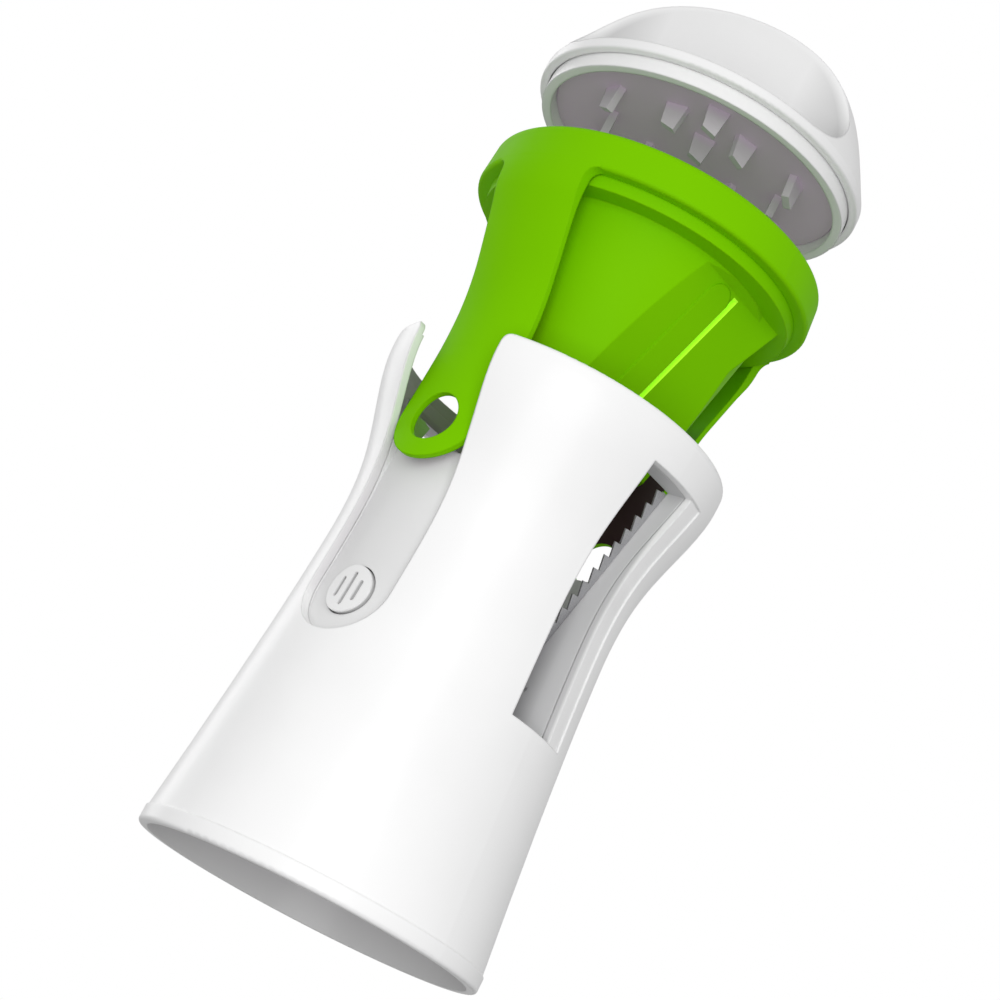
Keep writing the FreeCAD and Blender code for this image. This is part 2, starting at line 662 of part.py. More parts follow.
def make_hopper_frame():
    """Closed hopper frame: a collar with a shelf, and two straps that end in eyelets."""
    collar = rounded_path(
        [
            Vector(SHELF_BORE, 0, COLLAR_FOOT + SHELF_THICKNESS),
            Vector(SHELF_BORE, 0, COLLAR_FOOT),
            Vector(COLLAR_RADIUS, 0, COLLAR_FOOT),
            Vector(COLLAR_RADIUS - COLLAR_TAPER, 0, COLLAR_TOP),
            Vector(COLLAR_BORE, 0, COLLAR_TOP),
            Vector(COLLAR_BORE, 0, COLLAR_FOOT + SHELF_THICKNESS),
            Vector(SHELF_BORE, 0, COLLAR_FOOT + SHELF_THICKNESS),
        ],
        [0.0, COLLAR_FOOT_ROUND, COLLAR_TOP_ROUND, RUN_GAP, 0.0],
    )
    shape = revolved(collar)
    inner_radius = lambda height: outer_radius(height) - STRAP_INNER
    outer = filled_to(strap_radius, STRAP_FOOT, STRAP_TOP, WAIST_HEIGHT)
    inner = filled_to(inner_radius, STRAP_FOOT, STRAP_TOP, WAIST_HEIGHT)
    outline = arch_edges(
        STRAP_HALF_WIDTH, STRAP_FOOT, COLLAR_FOOT, CHANNEL_FLARE_FOOT, CHANNEL_FLARE, CHANNEL_CORNER
    )
    strap = outer.cut(inner).common(front_prism(outline))
    strap = strap.cut(front_rod(EYELET_RADIUS, 0, BUTTON_HEIGHT, 0, OUTSIDE))
    shape = shape.fuse(both_sides(strap)).removeSplitter()
    shape.translate(Vector(0, 0, RAISE))
    return shape


def level_rectangle(near_x, far_x, left_y, right_y, height):
    """Corners of a level rectangle."""
    return [
        Vector(near_x, left_y, height),
        Vector(far_x, left_y, height),
        Vector(far_x, right_y, height),
        Vector(near_x, right_y, height),
    ]


def beyond_plane():
    """All that lies outside the right plane, up to the ledge where the plane runs out to the cone."""
    foot = FUNNEL_FOOT - 2.0 * FUNNEL_WALL
    ledge = SPIGOT_FOOT - PANEL_TOP_DROP
    edges = ((foot, panel_x(foot)), (ledge, panel_x(ledge)), (SPIGOT_FOOT, CONE_RADIUS + FIT_GAP))
    return loft([level_rectangle(x, OUTSIDE, -OUTSIDE, OUTSIDE, height) for height, x in edges])


def panel_block():
    """Block that carries the right plane on past the cone to its right edge."""
    sections = []
    for height in (FUNNEL_FOOT, SPIGOT_FOOT):
        right = PANEL_RIGHT - PANEL_RIGHT_SLOPE * (SPIGOT_FOOT - height)
        sections.append(level_rectangle(0, panel_x(height), 0, right, height))
    return loft(sections)


def tongue():
    """Raised strip with a round top, on the left of the right slit."""
    top = SPIGOT_FOOT - TONGUE_TOP_DROP
    places = ((FUNNEL_FOOT, TONGUE_WIDTH), (top, TONGUE_WIDTH), (top, 0), (FUNNEL_FOOT, 0))
    corners = [Vector(0, slit_left(height) - offset, height) for height, offset in places]
    edges = rounded_path(corners, [TONGUE_ROUND, TONGUE_ROUND]) + [Part.makeLine(corners[-1], corners[0])]
    sections = []
    for height in (FUNNEL_FOOT, top):
        back = panel_x(height) - FUNNEL_WALL / 2.0
        sections.append(
            level_rectangle(back, panel_x(height) + TONGUE_STEP, -PANEL_RIGHT, PANEL_RIGHT, height)
        )
    return closed_face(edges).extrude(Vector(OUTSIDE, 0, 0)).common(loft(sections))


def slit_tool():
    """Tool for the right slit, through the wall and the tongue's right side."""
    sections = []
    for height in (FUNNEL_FOOT + SLIT_FOOT_RISE, SPIGOT_FOOT - SLIT_TOP_DROP):
        left = slit_left(height)
        sections.append(level_rectangle(FUNNEL_WALL, OUTSIDE, left, left + SLIT_WIDTH, height))
    return loft(sections)


def make_feed_funnel():
    """Closed funnel: a spigot under the shelf and a cone with a slitted plane on each side."""
    cone = Part.makeCone(cone_radius(FUNNEL_FOOT), CONE_RADIUS, CONE_HEIGHT, Vector(0, 0, FUNNEL_FOOT))
    spigot = Part.makeCone(
        SPIGOT_RADIUS - SPIGOT_TAPER, SPIGOT_RADIUS, SPIGOT_HEIGHT, Vector(0, 0, SPIGOT_FOOT)
    )
    bore_top = CONE_RADIUS - FUNNEL_WALL
    bore = Part.makeCone(
        cone_radius(FUNNEL_FOOT) - FUNNEL_WALL, bore_top, CONE_HEIGHT, Vector(0, 0, FUNNEL_FOOT)
    )
    mouth = Part.makeCylinder(bore_top, SPIGOT_HEIGHT, Vector(0, 0, SPIGOT_FOOT))
    kept_wall = beyond_plane().translated(Vector(-FUNNEL_WALL, 0, FUNNEL_WALL))
    bore = bore.cut(both_sides(kept_wall))
    shape = cone.cut(both_sides(beyond_plane()))
    shape = shape.fuse([spigot] + both_sides(panel_block()) + both_sides(tongue()))
    shape = shape.cut([bore, mouth] + both_sides(slit_tool())).removeSplitter()
    shape.translate(Vector(0, 0, RAISE))
    return shape


def make_cap_guide_ring():
    """Ring that centres the cap in the collar, held by a ledge over the spike plate's rim."""
    top = CEILING - RUN_GAP
    wall = ring(RING_BORE, RING_RADIUS, -RING_DROP, top)
    ledge = ring(RING_BORE - RING_LEDGE_REACH, RING_RADIUS, top - RING_LEDGE, top)
    shape = wall.fuse(ledge).removeSplitter()
    shape.translate(Vector(0, 0, CAP_SEAT))
    return shape


def scoop_tool():
    """Hollow on the front of the cap: a bowl that runs from the lip up the face of the grip fin."""
    top = LIP_HEIGHT + DOME_HEIGHT + SCOOP_FOOT
    reach = LIP_RADIUS + SCOOP_FLOOR_RUN
    edges = rounded_path(
        [
            Vector(0, -reach, top),
            Vector(0, -reach, SCOOP_FOOT),
            Vector(0, -GRIP_FOOT, SCOOP_FOOT),
            Vector(0, -GRIP_TOP, top),
            Vector(0, -reach, top),
        ],
        [0.0, SCOOP_BOWL, 0.0],
    )
    tool = closed_face(edges).extrude(Vector(2.0 * SCOOP_HALF_WIDTH, 0, 0))
    tool.translate(Vector(-SCOOP_HALF_WIDTH, 0, 0))
    sides = []
    for edge in tool.Edges:
        box = edge.BoundBox
        at_side = abs(abs(box.Center.x) - SCOOP_HALF_WIDTH) < TINY
        if at_side and box.YMin > -reach + TINY and box.ZLength > SCOOP_FLOOR_RUN:
            sides.append(edge)
    return tool.makeFillet(SCOOP_SIDE_ROUND, sides)


def make_cap_dome():
    """Dome with a lip, a flat ceiling over the spike plate, two scoops and a hollow grip fin."""
    top = LIP_HEIGHT + DOME_HEIGHT
    heights = [top - DOME_HEIGHT * (1.0 - step / CURVE_STEPS) ** 2 for step in range(CURVE_STEPS + 1)]
    edges = rounded_path(
        [
            Vector(0, 0, CEILING),
            Vector(LIP_BORE, 0, CEILING),
            Vector(LIP_BORE, 0, 0),
            Vector(LIP_RADIUS, 0, 0),
            Vector(LIP_RADIUS, 0, LIP_HEIGHT),
        ],
        [0.0, 0.0, LIP_ROUND],
    )
    edges.append(curve_through(dome_radius, heights))
    edges.append(Part.makeLine(Vector(0, 0, top), Vector(0, 0, CEILING)))
    shape = revolved(edges).cut(both_sides(scoop_tool()))
    hollow_half = GRIP_TOP - GRIP_SKIN
    hollow = Part.makeBox(
        GRIP_HOLLOW_LENGTH,
        2.0 * hollow_half,
        GRIP_HOLLOW_TOP - CEILING,
        Vector(-GRIP_HOLLOW_LENGTH / 2.0, -hollow_half, CEILING),
    )
    shape = shape.cut(hollow)
    shape.rotate(ORIGIN, UP, SCOOP_TURN)
    shape.translate(Vector(0, 0, CAP_SEAT))
    return shape


def make_spike(radius, turn):
    """Flat spike with a slanting tip, facing outwards at a radius and a direction."""
    half = SPIKE_WIDTH / 2.0
    tip_half = SPIKE_TIP_WIDTH / 2.0
    foot = -PLATE_DROP
    corners = [
        Vector(-half, -radius, foot),
        Vector(half, -radius, foot),
        Vector(tip_half, -radius, foot - SPIKE_LENGTH),
        Vector(-tip_half, -radius, foot - SPIKE_LENGTH + SPIKE_SLANT),
    ]
    spike = polygon_face(corners).extrude(Vector(0, SPIKE_THICKNESS, 0))
    spike.translate(Vector(0, -SPIKE_THICKNESS / 2.0, 0))
    spike.rotate(ORIGIN, UP, SPIKE_TURN + turn)
    return spike


def make_spike_plate():
    """Stepped plate that closes the dome and carries three rings of spikes."""
    rim = Part.makeCylinder(PLATE_RADIUS, PLATE_RIM, Vector(0, 0, -PLATE_DROP))
    hub_radius = RING_BORE - RING_LEDGE_REACH - RUN_GAP
    hub = Part.makeCylinder(hub_radius, CEILING + PLATE_DROP, Vector(0, 0, -PLATE_DROP))
    spikes = []
    for number in range(OUTER_SPIKES):
        spikes.append(make_spike(OUTER_SPIKE_RADIUS, 360.0 * number / OUTER_SPIKES))
    for side in (-90.0, 90.0):
        for offset in (-MIDDLE_SPIKE_ANGLE, 0.0, MIDDLE_SPIKE_ANGLE):
            spikes.append(make_spike(MIDDLE_SPIKE_RADIUS, side + offset))
    for number in range(INNER_SPIKES):
        spikes.append(make_spike(INNER_SPIKE_RADIUS, 360.0 * number / INNER_SPIKES))
    shape = rim.fuse([hub] + spikes).removeSplitter()
    shape.translate(Vector(0, 0, CAP_SEAT))
    return shape


def export(node, shape):
    shape.exportStep("parts/" + node + ".step")


def main():
    os.makedirs("parts", exist_ok=True)
    export("housing_shell", make_housing_shell())
    front_pieces = {
        "latch_track": make_latch_track(),
        "button_socket": make_button_socket(),
        "socket_screws": make_socket_screws(),
        "latch_button": make_latch_button(),
        "button_spring": make_button_spring(),
    }
    for name, shape in front_pieces.items():
        export(name + "_front", shape)
        export(name + "_rear", half_turn(shape))
    right_pieces = {
        "exit_chute": make_exit_chute().cut(make_blade_screws(FIT_GAP)),
        "julienne_blade": make_julienne_blade(),
        "blade_screws": make_blade_screws(),
    }
    for name, shape in right_pieces.items():
        export(name + "_right", shape)
        export(name + "_left", half_turn(shape))
    export("hopper_frame", make_hopper_frame())
    export("feed_funnel", make_feed_funnel())
    export("cap_guide_ring", make_cap_guide_ring())
    export("cap_dome", make_cap_dome())
    export("spike_plate", make_spike_plate())


main()
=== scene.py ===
import json
import math

import bpy
from mathutils import Matrix, Vector


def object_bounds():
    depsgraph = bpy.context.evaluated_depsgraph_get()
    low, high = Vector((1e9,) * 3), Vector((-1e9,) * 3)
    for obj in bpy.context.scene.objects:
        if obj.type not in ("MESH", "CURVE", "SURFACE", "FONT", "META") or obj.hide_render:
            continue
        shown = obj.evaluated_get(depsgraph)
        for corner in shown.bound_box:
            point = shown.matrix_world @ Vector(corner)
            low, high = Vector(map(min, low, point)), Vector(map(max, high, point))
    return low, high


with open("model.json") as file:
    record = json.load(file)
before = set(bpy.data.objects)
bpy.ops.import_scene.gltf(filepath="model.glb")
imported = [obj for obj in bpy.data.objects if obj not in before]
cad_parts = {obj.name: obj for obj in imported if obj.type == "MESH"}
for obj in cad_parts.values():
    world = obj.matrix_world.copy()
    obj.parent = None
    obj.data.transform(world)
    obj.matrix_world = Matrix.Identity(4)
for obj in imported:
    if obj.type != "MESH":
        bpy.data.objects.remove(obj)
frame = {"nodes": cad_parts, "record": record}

cad_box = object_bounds()
MM = 0.001


# ---- shader maths ----


class Value:
    """A socket that takes part in arithmetic: each expression adds its Math node."""

    def __init__(self, finish, socket):
        self.finish = finish
        self.socket = socket

    def combine(self, operation, first, second=0.0):
        return self.finish.node("ShaderNodeMath", {"operation": operation}, {0: first, 1: second})

    def __add__(self, other):
        return self.combine("ADD", self, other)

    __radd__ = __add__

    def __sub__(self, other):
        return self.combine("SUBTRACT", self, other)

    def __rsub__(self, other):
        return self.combine("SUBTRACT", other, self)

    def __mul__(self, other):
        return self.combine("MULTIPLY", self, other)

    __rmul__ = __mul__

    def __truediv__(self, other):
        return self.combine("DIVIDE", self, other)

    def __rtruediv__(self, other):
        return self.combine("DIVIDE", other, self)

    def __neg__(self):
        return self.combine("MULTIPLY", self, -1.0)

    def __pow__(self, exponent):
        return self.combine("POWER", self, exponent)

    def __abs__(self):
        return self.combine("ABSOLUTE", self)

    def sign(self):
        return self.combine("SIGN", self)

    def above(self, level):
        return self.combine("GREATER_THAN", self, level)

    def below(self, level):
        return self.combine("LESS_THAN", self, level)

    def at_least(self, level):
        return self.combine("MAXIMUM", self, level)

    def clamped(self):
        return self.combine("MINIMUM", self.at_least(0.0), 1.0)

    def grown(self, start, length):
        """0 up to a start, then rising to 1 over a length."""
        return ((self - start) / length).clamped()


class Finish:
    """One material: a Principled surface whose varying inputs are fed by expressions."""

    def __init__(self, name):
        self.material = bpy.data.materials.new(name)
        self.material.use_nodes = True
        self.tree = self.material.node_tree
        self.surface = self.tree.nodes["Principled BSDF"]

    def feed(self, socket, value):
        if isinstance(value, Value):
            self.tree.links.new(value.socket, socket)
        else:
            socket.default_value = value

    def node(self, kind, settings=None, inputs=None, output=0):
        """Any node: its settings are set first, then its sockets get their values or links."""
        made = self.tree.nodes.new(kind)
        for name, setting in (settings or {}).items():
            setattr(made, name, setting)
        for name, value in (inputs or {}).items():
            self.feed(made.inputs[name], value)
        return Value(self, made.outputs[output])

    def place(self):
        """Place on the piece at rest, which moves along with it."""
        return self.node("ShaderNodeTexCoord", output="Object")

    def place_in_room(self):
        return self.node("ShaderNodeNewGeometry", output="Position")

    def facing(self):
        return self.node("ShaderNodeTexCoord", output="Normal")

    def axes(self, vector):
        split = self.node("ShaderNodeSeparateXYZ", inputs={0: vector})
        outputs = split.socket.node.outputs
        return [Value(self, outputs[name]) for name in ("X", "Y", "Z")]

    def stretched(self, vector, scale):
        return self.node(
            "ShaderNodeVectorMath", {"operation": "MULTIPLY"}, {0: vector, 1: scale}
        )

    def noise(self, vector, size, detail=2.0, rough=0.5):
        """Cloudy grain whose lumps are about a size across, in metres."""
        return self.node(
            "ShaderNodeTexNoise",
            inputs={"Vector": vector, "Scale": 1.0 / size, "Detail": detail, "Roughness": rough},
        )

    def tint(self, factor, low, high):
        """Blend of two colours."""
        return self.node("ShaderNodeMix", {"data_type": "RGBA"}, {0: factor, 6: low, 7: high}, 2)

    def rounded_edges(self, radius):
        return self.node("ShaderNodeBevel", {"samples": 6}, {"Radius": radius})

    def bump(self, height, distance, strength, normal):
        return self.node(
            "ShaderNodeBump",
            inputs={"Height": height, "Distance": distance, "Strength": strength, "Normal": normal},
        )

    def set(self, **inputs):
        """Values or links of the surface's sockets, with _ for the spaces in their names."""
        for name, value in inputs.items():
            self.feed(self.surface.inputs[name.replace("_", " ")], value)
        return self.material


def colour(red, green, blue):
    """Colour given as the 0 to 255 values that a screen shows."""

    def linear(level):
        share = level / 255.0
        return share / 12.92 if share <= 0.04045 else ((share + 0.055) / 1.055) ** 2.4

    return (linear(red), linear(green), linear(blue), 1.0)


# ---- the solids' own sizes, for finishes that follow their faces ----

# Housing wall: a waist, a mouth that sweeps out with the height squared, a skirt
WAIST_RADIUS = 38.0 * MM
WAIST_HEIGHT = 89.0 * MM
MOUTH_SWEEP = 3.7
SKIRT_CURVE = 1.3
SKIRT_STEP = 7.65 * MM
BUTTON_SINK = 2.0 * MM          # button's face inside the housing's outer face
WINDOW_CREST = 138.0 * MM       # just above the windows
WINDOW_REACH = 24.0 * MM        # just beyond their sides
BASE_BEAD = 5.0 * MM

# Hopper as it stands raised
FUNNEL_TOP = 183.9 * MM
SLIT_LEFT = 1.6 * MM
SLIT_SLOPE = 0.08
SLIT_WIDTH = 1.7 * MM
SLIT_HEAD = 2.2 * MM            # below the funnel's top
SLIT_FOOT = 47.0 * MM
SLIT_INNER = 14.0 * MM          # nearest to the axis
STRAP_BACK = 31.0 * MM          # nearest to the axis

# Cap as it stands lifted
DOME_RADIUS = 46.3 * MM
DOME_HEIGHT = 36.0 * MM
DOME_FOOT = cad_box[1][2] - DOME_HEIGHT
DOME_TAPER = 0.36
DOME_POWER = 5.0
SCOOP_TURN = math.radians(29.0)
PLATE_FACE = DOME_FOOT - 3.5 * MM


def distance_from_axis(x, y):
    return (x * x + y * y) ** 0.5


def depth_in_wall(x, y, z):
    """How far a point lies inside the housing's outer face."""
    above = (z - WAIST_HEIGHT).at_least(0.0)
    under = (WAIST_HEIGHT - z).at_least(0.0) / WAIST_HEIGHT
    skin = WAIST_RADIUS + above * above * MOUTH_SWEEP + under ** SKIRT_CURVE * SKIRT_STEP
    return skin - distance_from_axis(x, y)


def depth_in_dome(x, y, z):
    """How far a point lies inside the dome, as it would be without its scoops."""
    share = z.grown(DOME_FOOT, DOME_HEIGHT)
    dome = (1.0 - share * DOME_TAPER) * (1.0 - share ** DOME_POWER) ** 0.5 * DOME_RADIUS
    return dome - distance_from_axis(x, y)


INWARD_START = 0.3
INWARD_SPREAD = 0.25


def turned_inwards(finish, x, y):
    """1 on the faces that look at the axis, 0 on those that look away from it."""
    face_x, face_y, face_z = finish.axes(finish.facing())
    towards_axis = -(face_x * x + face_y * y) / distance_from_axis(x, y)
    return towards_axis.grown(INWARD_START, INWARD_SPREAD)


# ---- moulded plastics ----

CLOUD_SIZE = 30.0 * MM
CLOUD_CONTRAST = 1.6
SMEAR_SIZE = 6.0 * MM
SMEAR_STRETCH = (1.0, 1.0, 0.35)
SMEAR_GLOSS = 0.12
SKIN_SIZE = 0.35 * MM
SKIN_DEPTH = 0.02 * MM
SKIN_STRENGTH = 0.25
COAT_ROUGHNESS = 0.18
NO_GLOW = (0.0, 0.0, 0.0, 1.0)


def moulded_plastic(name, light, deep, roughness, coat, edge, grain=0.0, specular=0.3, shade=None):
    """Injection-moulded plastic: soft flow clouds in the colour, uneven gloss, a faint skin grain."""
    finish = Finish(name)
    place = finish.place()
    clouds = finish.noise(place, CLOUD_SIZE)
    smears = finish.noise(finish.stretched(place, SMEAR_STRETCH), SMEAR_SIZE, 4.0)
    skin = finish.noise(place, SKIN_SIZE, 1.0)
    rounded = finish.rounded_edges(edge)
    tone = finish.tint(((clouds - 0.5) * CLOUD_CONTRAST + 0.5).clamped(), deep, light)
    # The shade function adds painted shade, and on some finishes a painted glow
    if shade:
        tone = shade(finish, place, tone)
    return finish.set(
        Base_Color=tone,
        Roughness=roughness + (smears - 0.5) * SMEAR_GLOSS,
        Normal=finish.bump(skin, SKIN_DEPTH, SKIN_STRENGTH + grain, rounded),
        Coat_Weight=coat,
        Coat_Roughness=COAT_ROUGHNESS,
        Specular_IOR_Level=specular,
    )


GROOVE_EDGE = 0.25 * MM
GROOVE_FADE = 0.4 * MM
# Painted shade in the grooves of the button's face
GROOVE_SHADE_GREY = colour(186, 186, 186)


def painted_shade_grooves(finish, place, tone):
    """Button plastic with painted shade in the grooves of its face."""
    depth = depth_in_wall(*finish.axes(place)) - BUTTON_SINK
    return finish.tint(depth.grown(GROOVE_EDGE, GROOVE_FADE), tone, GROOVE_SHADE_GREY)


# Painted shade on the housing's ramps, window sides and inner faces
WALL_SKIN = 0.4 * MM            # depth at which a face no longer counts as outside
RAMP_EDGE = 1.0 * MM
RAMP_SHADE_SHARE = 0.58               # share of painted shade all over a ramp
RAMP_DEEP = 7.0 * MM            # depth from which a ramp's painted shade deepens
RAMP_FADE = 6.0 * MM
RAMP_DEEP_SHADE_SHARE = 0.4
EDGE_FADE = 22.0 * MM
EDGE_SHADE_GREY = colour(165, 165, 167)
HOLLOW_FADE = 60.0 * MM
HOLLOW_FOOT_SHADE_GREY = colour(224, 224, 224)
HOLLOW_SHADE_GREY = colour(160, 150, 160)


def painted_shade_inside(finish, place, tone):
    """Housing plastic with painted shade: greyer on its inner faces, and on the ramps the deeper they
    lie.
    """
    x, y, z = finish.axes(place)
    depth = depth_in_wall(x, y, z)
    ramp = depth.grown(WALL_SKIN, RAMP_EDGE) * RAMP_SHADE_SHARE
    ramp = ramp + depth.grown(RAMP_DEEP, RAMP_FADE) * RAMP_DEEP_SHADE_SHARE
    at_window = abs(y).below(WINDOW_REACH) * z.above(BASE_BEAD) * z.below(WINDOW_CREST)
    elsewhere = depth.grown(WALL_SKIN, EDGE_FADE)
    tone = finish.tint(ramp * at_window + elsewhere * (1.0 - at_window), tone, EDGE_SHADE_GREY)
    hollow = finish.tint(z.grown(0.0, HOLLOW_FADE), HOLLOW_FOOT_SHADE_GREY, HOLLOW_SHADE_GREY)
    return finish.tint(turned_inwards(finish, x, y), tone, hollow)


# Painted shade in the cap's scoops
SCOOP_EDGE = 0.8 * MM
SCOOP_FADE = 3.0 * MM
SCOOP_END = 20.0 * MM           # distance along a scoop at which its ends begin
SCOOP_END_FADE = 16.0 * MM
SCOOP_SHADE_SHARE = 0.15              # share of painted shade in a scoop's middle
SCOOP_SHADE_GREY = colour(193, 193, 193)
LIP_TOP = DOME_FOOT - 0.5 * MM


def painted_shade_scoops(finish, place, tone):
    """Cap plastic with painted shade in its two scoops, most of all towards their ends."""
    x, y, z = finish.axes(place)
    along = x * math.cos(SCOOP_TURN) + y * math.sin(SCOOP_TURN)
    end = abs(along).grown(SCOOP_END, SCOOP_END_FADE)
    inside = depth_in_dome(x, y, z).grown(SCOOP_EDGE, SCOOP_FADE) * z.above(LIP_TOP)
    return finish.tint(inside * (SCOOP_SHADE_SHARE + end * (1.0 - SCOOP_SHADE_SHARE)), tone, SCOOP_SHADE_GREY)


SLIT_MARGIN = 0.15 * MM
# Painted glow and painted light on the edges of the funnel's slits
SLIT_PAINTED_GLOW = colour(95, 145, 15)
SLIT_PAINTED_LIGHT = colour(190, 255, 60)


def painted_glow_slits(finish, x, y, z, tone):
    """Painted light and a painted glow on the thin edges of the funnel's slits, in place of light
    showing through them.
    """
    drop = FUNNEL_TOP - z
    across = y * x.sign() - SLIT_LEFT + drop * SLIT_SLOPE
    beside = across.above(-SLIT_MARGIN) * across.below(SLIT_WIDTH + SLIT_MARGIN)
    slit = beside * drop.above(SLIT_HEAD) * drop.below(SLIT_FOOT) * abs(x).above(SLIT_INNER)
    finish.set(Emission_Color=finish.tint(slit, NO_GLOW, SLIT_PAINTED_GLOW), Emission_Strength=1.0)
    return finish.tint(slit, tone, SLIT_PAINTED_LIGHT)


# Painted shade on the straps' backs, set by their height in the room
HOUSED_BELOW = 162.0 * MM
HOUSED_FADE = 12.0 * MM
HOUSED_STRAP_SHADE = colour(74, 56, 58)


def painted_shade_straps(finish, x, y, z, tone):
    """Painted shade on the straps' backs where they stand down inside the housing."""
    room_x, room_y, room_z = finish.axes(finish.place_in_room())
    housed_shade = (HOUSED_BELOW - room_z).grown(0.0, HOUSED_FADE)
    strap = abs(y).above(STRAP_BACK) * z.below(HOUSED_BELOW)
    return finish.tint(turned_inwards(finish, x, y) * housed_shade * strap, tone, HOUSED_STRAP_SHADE)


# Painted shade on the straps' backs, then painted glow and light on the slits
def slit_glow_and_strap_shade(finish, place, tone):
    x, y, z = finish.axes(place)
    tone = painted_shade_straps(finish, x, y, z, tone)
    return painted_glow_slits(finish, x, y, z, tone)


SPIKE_FADE = 2.5 * MM
# Painted shade on the spike plate, and a painted glow on plate and spikes
PLATE_SHADE_GREY = colour(176, 164, 178)
PLATE_PAINTED_GLOW = (0.09, 0.07, 0.09, 1.0)
SPIKE_PAINTED_GLOW = (0.02, 0.02, 0.02, 1.0)


def painted_shade_plate(finish, place, tone):
    """Grey plastic of the spikes, with painted shade on the plate that carries them and a faint painted
    glow on both, in place of fill light from below.
    """
    x, y, z = finish.axes(place)
    spike = (PLATE_FACE - z).grown(0.0, SPIKE_FADE)
    finish.set(Emission_Color=finish.tint(spike, PLATE_PAINTED_GLOW, SPIKE_PAINTED_GLOW), Emission_Strength=1.0)
    return finish.tint(spike, PLATE_SHADE_GREY, tone)


# ---- steels ----

GRIND_SIZE = 1.0 * MM
GRIND_DEPTH = 0.02 * MM
GRIND_STRENGTH = 0.35
GRIND_GLOSS = 0.25
STAIN_SIZE = 9.0 * MM
STEEL_EDGE = 0.08 * MM


def steel_colour(level, blue):
    return (level, level, blue, 1.0)


def ground_steel(name, along, bright, dark, roughness):
    """Stainless steel with fine grinding lines across the blade and soft stains."""
    finish = Finish(name)
    place = finish.place()
    lines = finish.noise(finish.stretched(place, along), GRIND_SIZE, 3.0, 0.7)
    stains = finish.noise(place, STAIN_SIZE)
    return finish.set(
        Base_Color=finish.tint((lines * 0.7 + stains * 0.6 - 0.15).clamped(), dark, bright),
        Metallic=1.0,
        Roughness=roughness + (lines - 0.5) * GRIND_GLOSS,
        Normal=finish.bump(lines, GRIND_DEPTH, GRIND_STRENGTH, finish.rounded_edges(STEEL_EDGE)),
    )


# ---- one finish for each material slot ----


def make_finishes():
    """One material for each of the record's material slots."""
    shell = (colour(250, 250, 250), colour(245, 245, 245))
    cap = (colour(244, 244, 244), colour(239, 239, 239))
    trim = (colour(234, 234, 234), colour(227, 227, 227))
    lime = (colour(124, 202, 0), colour(120, 198, 0))
    spikes = (colour(194, 190, 194), colour(186, 182, 186))
    blade = (steel_colour(0.72, 0.73), steel_colour(0.45, 0.47))
    screw = (steel_colour(0.65, 0.67), steel_colour(0.42, 0.44))
    spring = (steel_colour(0.6, 0.62), steel_colour(0.35, 0.37))
    return {
        "white_shell": moulded_plastic(
            "white_shell", *shell, 0.36, 0.15, 0.7 * MM, shade=painted_shade_inside
        ),
        "white_button": moulded_plastic(
            "white_button", *cap, 0.32, 0.2, 0.35 * MM, shade=painted_shade_grooves
        ),
        "cap_white": moulded_plastic(
            "cap_white", *cap, 0.38, 0.12, 0.9 * MM, shade=painted_shade_scoops
        ),
        "light_grey_trim": moulded_plastic(
            "light_grey_trim", *trim, 0.5, 0.0, 0.4 * MM, grain=0.2
        ),
        "lime_green": moulded_plastic(
            "lime_green", *lime, 0.5, 0.0, 0.6 * MM, specular=0.02, shade=slit_glow_and_strap_shade
        ),
        "spike_grey": moulded_plastic(
            "spike_grey", *spikes, 0.5, 0.0, 0.3 * MM, shade=painted_shade_plate
        ),
        "blade_steel": ground_steel("blade_steel", (0.4, 6.0, 6.0), *blade, 0.3),
        "screw_steel": ground_steel("screw_steel", (3.0, 3.0, 3.0), *screw, 0.35),
        "spring_steel": ground_steel("spring_steel", (2.0, 2.0, 2.0), *spring, 0.3),
    }


def dress(finishes):
    """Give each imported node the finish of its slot."""
    for entry in frame["record"]["subparts"]:
        mesh = frame["nodes"][entry["node"]].data
        mesh.materials.clear()
        mesh.materials.append(finishes[entry["material_slot"]])


# ---- camera ----

CAMERA_AZIMUTH = math.radians(45.0)   # from -Y towards +X
CAMERA_DISTANCE = 563.3 * MM
CAMERA_HEIGHT = -49.33 * MM
CAMERA_PITCH = 0.28047
CAMERA_YAW = -0.007
CAMERA_ROLL = math.radians(27.5)
CAMERA_LENS = 83.2
CAMERA_SENSOR = 36.0
CAMERA_NEAR = 10.0 * MM


def add_camera():
    """Camera below the base rim that looks up at the object, tilted so that the object leans right."""
    across = Vector((math.cos(CAMERA_AZIMUTH), math.sin(CAMERA_AZIMUTH), 0.0))
    away = Vector((-math.sin(CAMERA_AZIMUTH), math.cos(CAMERA_AZIMUTH), 0.0))
    level = away * math.cos(CAMERA_YAW) + across * math.sin(CAMERA_YAW)
    right = across * math.cos(CAMERA_YAW) - away * math.sin(CAMERA_YAW)
    zenith = Vector((0.0, 0.0, 1.0))
    forward = level * math.cos(CAMERA_PITCH) + zenith * math.sin(CAMERA_PITCH)
    up = zenith * math.cos(CAMERA_PITCH) - level * math.sin(CAMERA_PITCH)
    frame_right = right * math.cos(CAMERA_ROLL) + up * math.sin(CAMERA_ROLL)
    frame_up = up * math.cos(CAMERA_ROLL) - right * math.sin(CAMERA_ROLL)
    lens = bpy.data.cameras.new("camera")
    lens.lens = CAMERA_LENS
    lens.sensor_width = CAMERA_SENSOR
    lens.clip_start = CAMERA_NEAR
    camera = bpy.data.objects.new("camera", lens)
    bpy.context.scene.collection.objects.link(camera)
    turn = Matrix((frame_right, frame_up, -forward)).transposed().to_4x4()
    position = -away * CAMERA_DISTANCE + zenith * CAMERA_HEIGHT
    camera.matrix_world = Matrix.Translation(position) @ turn
    bpy.context.scene.camera = camera
    return right, up, forward


# ---- studio ----

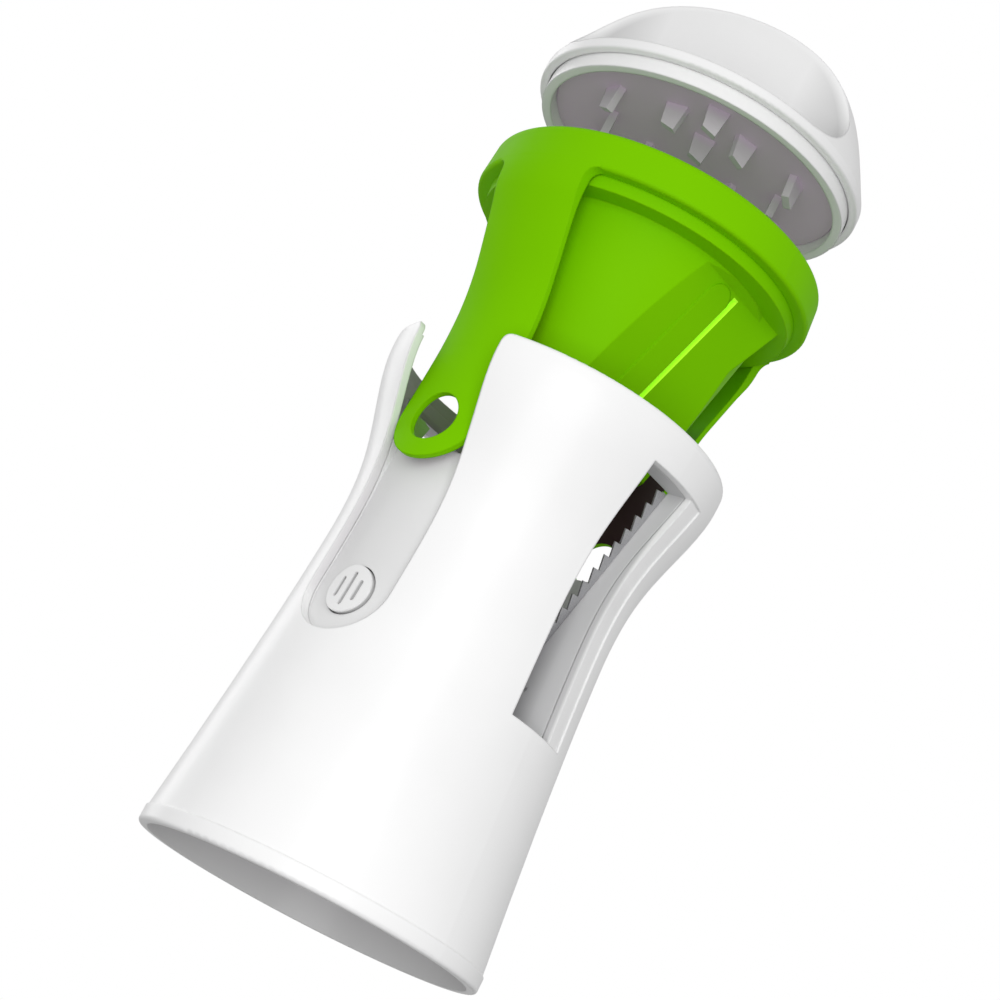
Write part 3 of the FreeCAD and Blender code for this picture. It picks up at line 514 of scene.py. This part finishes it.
STUDIO_MIDDLE = Vector((0.0, 0.0, 130.0 * MM))
# Each softbox: its place right of, above and beyond the middle, its width and height, its watts
SOFTBOXES = {
    "key_softbox": ((-30.0 * MM, 100.0 * MM, -750.0 * MM), 500.0 * MM, 750.0 * MM, 3.3),
    "left_softbox": ((-550.0 * MM, 100.0 * MM, 600.0 * MM), 300.0 * MM, 700.0 * MM, 1.3),
}


def add_softbox(name, position, width, height, watts):
    light = bpy.data.lights.new(name, "AREA")
    light.shape = "RECTANGLE"
    light.size = width
    light.size_y = height
    light.energy = watts
    box = bpy.data.objects.new(name, light)
    bpy.context.scene.collection.objects.link(box)
    box.location = position
    box.rotation_euler = (STUDIO_MIDDLE - position).to_track_quat("-Z", "Y").to_euler()
    box.visible_camera = False


FLOOR_REACH = 1.0
FLOOR_CLEAR = 200.0 * MM        # from the axis to where the floor starts to fade
FLOOR_FADE = 450.0 * MM
FLOOR_DROP = 0.2 * MM
PAPER_CLOUDS = 120.0 * MM


def add_floor():
    """Pale floor that fades out into the backdrop and shows from above only."""
    mesh = bpy.data.meshes.new("floor")
    corners = [(-1, -1, 0), (1, -1, 0), (1, 1, 0), (-1, 1, 0)]
    mesh.from_pydata([Vector(corner) * FLOOR_REACH for corner in corners], [], [(0, 1, 2, 3)])
    floor = bpy.data.objects.new("floor", mesh)
    bpy.context.scene.collection.objects.link(floor)
    finish = Finish("floor_paper")
    paper = finish.noise(finish.place(), PAPER_CLOUDS)
    tone = finish.tint(paper, colour(238, 238, 238), colour(244, 244, 244))
    mesh.materials.append(finish.set(Base_Color=tone, Roughness=0.8))
    clear = finish.node("ShaderNodeBsdfTransparent")
    behind = finish.node("ShaderNodeNewGeometry", output="Backfacing")
    x, y, z = finish.axes(finish.place())
    away = distance_from_axis(x, y).grown(FLOOR_CLEAR, FLOOR_FADE)
    sheet = Value(finish, finish.surface.outputs[0])
    shown = finish.node("ShaderNodeMixShader", inputs={0: (behind + away).clamped(), 1: sheet, 2: clear})
    finish.feed(finish.tree.nodes["Material Output"].inputs["Surface"], shown)
    floor.location.z = -FLOOR_DROP
    floor.visible_shadow = False
    floor.visible_diffuse = False
    floor.visible_glossy = False
    floor.visible_transmission = False


WHITE = (1.0, 1.0, 1.0, 1.0)
# Light from all round: strength from below, strength from above, and the heights between
DOME_LIGHT_LOW = 0.38
DOME_LIGHT_HIGH = 0.65
DOME_LIGHT_FROM = -0.45
DOME_LIGHT_TO = 0.35


def add_backdrop_light():
    """White all round for the camera, and a soft dome of light that is weaker from below."""
    world = bpy.data.worlds.new("studio")
    world.use_nodes = True
    bpy.context.scene.world = world
    tree = world.node_tree
    background = tree.nodes["Background"]
    background.inputs["Color"].default_value = WHITE
    seen = tree.nodes.new("ShaderNodeBackground")
    seen.inputs["Color"].default_value = WHITE
    place = tree.nodes.new("ShaderNodeTexCoord")
    split = tree.nodes.new("ShaderNodeSeparateXYZ")
    strength = tree.nodes.new("ShaderNodeMapRange")
    strength.interpolation_type = "SMOOTHSTEP"
    strength.inputs["From Min"].default_value = DOME_LIGHT_FROM
    strength.inputs["From Max"].default_value = DOME_LIGHT_TO
    strength.inputs["To Min"].default_value = DOME_LIGHT_LOW
    strength.inputs["To Max"].default_value = DOME_LIGHT_HIGH
    path = tree.nodes.new("ShaderNodeLightPath")
    mix = tree.nodes.new("ShaderNodeMixShader")
    tree.links.new(place.outputs["Generated"], split.inputs[0])
    tree.links.new(split.outputs["Z"], strength.inputs["Value"])
    tree.links.new(strength.outputs["Result"], background.inputs["Strength"])
    tree.links.new(path.outputs["Is Camera Ray"], mix.inputs[0])
    tree.links.new(background.outputs[0], mix.inputs[1])
    tree.links.new(seen.outputs[0], mix.inputs[2])
    tree.links.new(mix.outputs[0], tree.nodes["World Output"].inputs["Surface"])


def add_studio():
    right, up, forward = add_camera()
    add_floor()
    add_backdrop_light()
    for name, (offset, width, height, watts) in SOFTBOXES.items():
        position = STUDIO_MIDDLE + right * offset[0] + up * offset[1] + forward * offset[2]
        add_softbox(name, position, width, height, watts)
    bpy.context.scene.view_settings.view_transform = "Standard"


dress(make_finishes())
add_studio()
